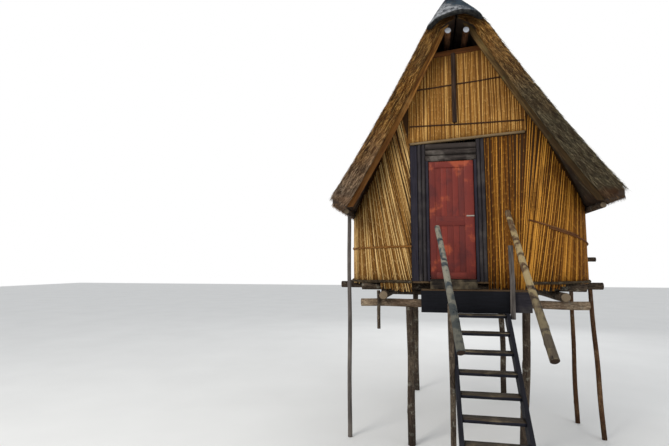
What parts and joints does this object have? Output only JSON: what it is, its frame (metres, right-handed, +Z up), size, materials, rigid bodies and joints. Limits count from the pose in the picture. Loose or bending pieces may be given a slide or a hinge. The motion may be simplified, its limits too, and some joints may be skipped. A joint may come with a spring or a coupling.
{
  "type": "thatched tree house",
  "caption": "Reed-walled cabin with a steep bell-cast thatch roof and cement ridge cap, raised on poles, with a ladder stair to its hinged plank door.",
  "frame": {"origin": "on the ground under the middle of the whole outline", "axes": "+X to the right of someone facing the door, +Y into the house, +Z up"},
  "size_m": [4.5, 7.2578, 7.2817],
  "materials": {
    "thatch": "matt straw",
    "cement": "weathered cement",
    "reed": "dry reed",
    "golden_reed": "dry reed",
    "red_door": "worn varnish",
    "dark_frame": "dark stain",
    "grey_pole": "weathered",
    "bark_pole": "rough bark",
    "brown_pole": "peeled pole",
    "pale_pole": "sun bleached",
    "yellow_board": "sawn",
    "brown_board": "sawn",
    "dark_timber": "dark stain, worn",
    "steel": "dull"
  },
  "bodies": {
    "house": {"floor_boards": "brown_board", "platform_boards": "brown_board", "platform_fascia": "dark_timber", "door_step": "pale_pole", "floor_joists": "bark_pole", "floor_bearers": "bark_pole", "front_cross_logs": "grey_pole", "back_cross_log": "grey_pole", "front_left_post": "bark_pole", "front_right_post": "bark_pole", "back_posts": "bark_pole", "right_side_posts": "brown_pole", "left_eave_post": "bark_pole", "left_stub_post": "bark_pole", "front_left_wall": "dark_frame", "front_right_wall": "golden_reed", "front_left_corner": "reed", "front_right_corner": "golden_reed", "left_wall": "reed", "right_wall": "golden_reed", "back_left_corner": "reed", "back_right_corner": "golden_reed", "back_wall": "reed", "left_wall_hoops": "bark_pole", "right_wall_hoops": "bark_pole", "right_pole_end": "bark_pole", "front_gable": "reed", "back_gable": "reed", "gable_rail": "pale_pole", "gable_board": "brown_board", "gable_pole": "bark_pole", "gable_laths": "bark_pole", "door_poles": "grey_pole", "door_jambs": "dark_frame", "door_sill": "dark_frame", "lintel_logs": "grey_pole", "door_hinge_pins": "steel", "left_thatch": "thatch", "right_thatch": "thatch", "ridge_cap": "cement", "ridge_poles": "grey_pole", "left_rafters": "bark_pole", "right_rafters": "bark_pole", "left_barge_board": "yellow_board", "right_barge_board": "bark_pole", "wall_plates": "bark_pole", "left_stringer": "dark_timber", "right_stringer": "dark_timber", "stair_treads": "dark_timber", "left_handrail": "pale_pole", "right_handrail": "pale_pole", "left_rail_post": "bark_pole", "right_rail_post": "pale_pole"},
    "door": {"door_leaf": "red_door", "door_latch": "steel", "door_straps": "steel"}
  },
  "joints": [
    {"name": "door_hinge", "type": "hinge", "parent": "house", "child": "door", "pos_m": [-0.606, -0.59715, 3.6], "axis": [0, 0, 1], "range_deg": [0, 90]}
  ]
}
